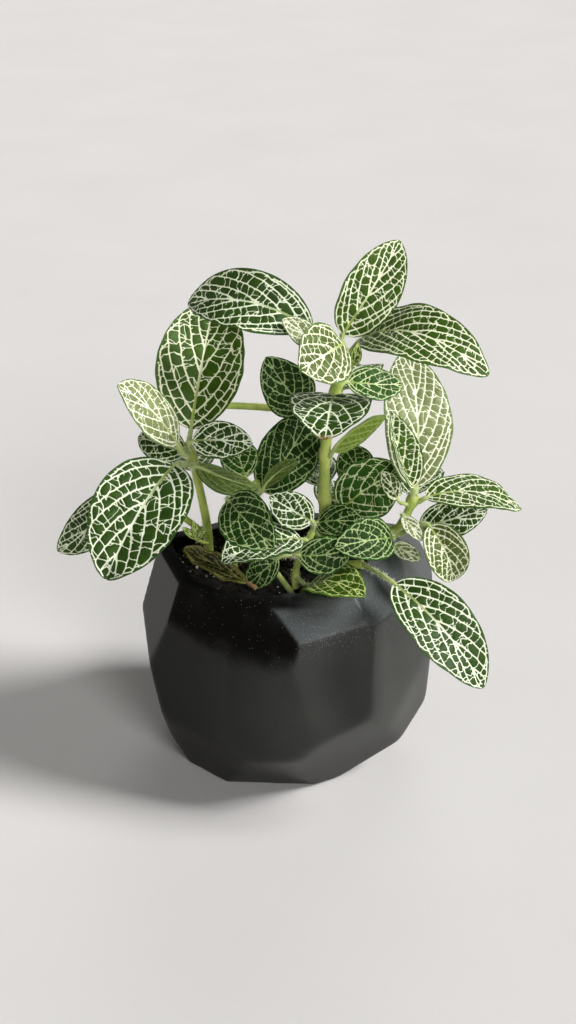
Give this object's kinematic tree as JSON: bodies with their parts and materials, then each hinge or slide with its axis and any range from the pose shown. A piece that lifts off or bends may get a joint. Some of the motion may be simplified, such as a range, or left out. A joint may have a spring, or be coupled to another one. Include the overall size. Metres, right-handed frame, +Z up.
{
  "type": "potted nerve plant",
  "caption": "Small nerve plant (fittonia) with white-veined leaves, growing in a dark faceted ceramic pot that stands on a flat base.",
  "frame": {"origin": "centre of the pot's flat base, on the surface that it stands on", "axes": "+Z up, along the pot's axis; the pictured front faces -Y, with +X to its right"},
  "size_m": [0.1791, 0.1199, 0.2066],
  "materials": {
    "pot_ceramic": "matte charcoal ceramic with soft facet edges",
    "potting_soil": "dark moist peat with pale grit",
    "green_stem": "pale green, downy",
    "leaf_blade": "dark green satin leaf with a raised net of cream white veins",
    "dry_leaf": "dry olive leaf"
  },
  "bodies": {
    "root": {"pot": "pot_ceramic", "soil": "potting_soil", "stem_main": "green_stem", "stem_left": "green_stem", "stem_right": "green_stem", "stem_inner": "green_stem", "stem_middle": "green_stem", "stem_front": "green_stem", "stem_low_left": "green_stem", "stem_low_right": "green_stem", "leaf_crown_left": "leaf_blade", "leaf_crown_front": "leaf_blade", "leaf_crown_small": "leaf_blade", "leaf_crown_top": "leaf_blade", "leaf_crown_right": "leaf_blade", "leaf_crown_bud": "leaf_blade", "leaf_main_front": "leaf_blade", "leaf_main_right": "leaf_blade", "leaf_main_left": "leaf_blade", "leaf_main_turned": "leaf_blade", "leaf_main_back": "leaf_blade", "leaf_main_low": "leaf_blade", "leaf_main_foot": "leaf_blade", "leaf_left_upright": "leaf_blade", "leaf_left_pale": "leaf_blade", "leaf_left_shaded": "leaf_blade", "leaf_left_front": "leaf_blade", "leaf_left_inner": "leaf_blade", "leaf_left_turned": "leaf_blade", "leaf_left_low": "leaf_blade", "leaf_inner_upright": "leaf_blade", "leaf_inner_dark": "leaf_blade", "leaf_inner_turned": "leaf_blade", "leaf_middle": "leaf_blade", "leaf_front_upper": "leaf_blade", "leaf_front_left": "leaf_blade", "leaf_front_low": "leaf_blade", "leaf_front_right": "leaf_blade", "leaf_front_young": "leaf_blade", "leaf_right_tall": "leaf_blade", "leaf_right_folded": "leaf_blade", "leaf_right_pointed": "leaf_blade", "leaf_right_small": "leaf_blade", "leaf_right_outer": "leaf_blade", "leaf_right_drooping": "leaf_blade", "leaf_right_curled": "leaf_blade", "leaf_right_facing": "leaf_blade", "leaf_right_tiny": "leaf_blade", "leaf_hanging": "leaf_blade", "leaf_back_upper": "leaf_blade", "leaf_back_middle": "leaf_blade", "leaf_back_inner": "leaf_blade", "leaf_back_right": "leaf_blade", "leaf_back_left": "leaf_blade", "leaf_back_low": "leaf_blade", "leaf_withered": "dry_leaf", "shoot_left": "leaf_blade"}
  },
  "joints": []
}
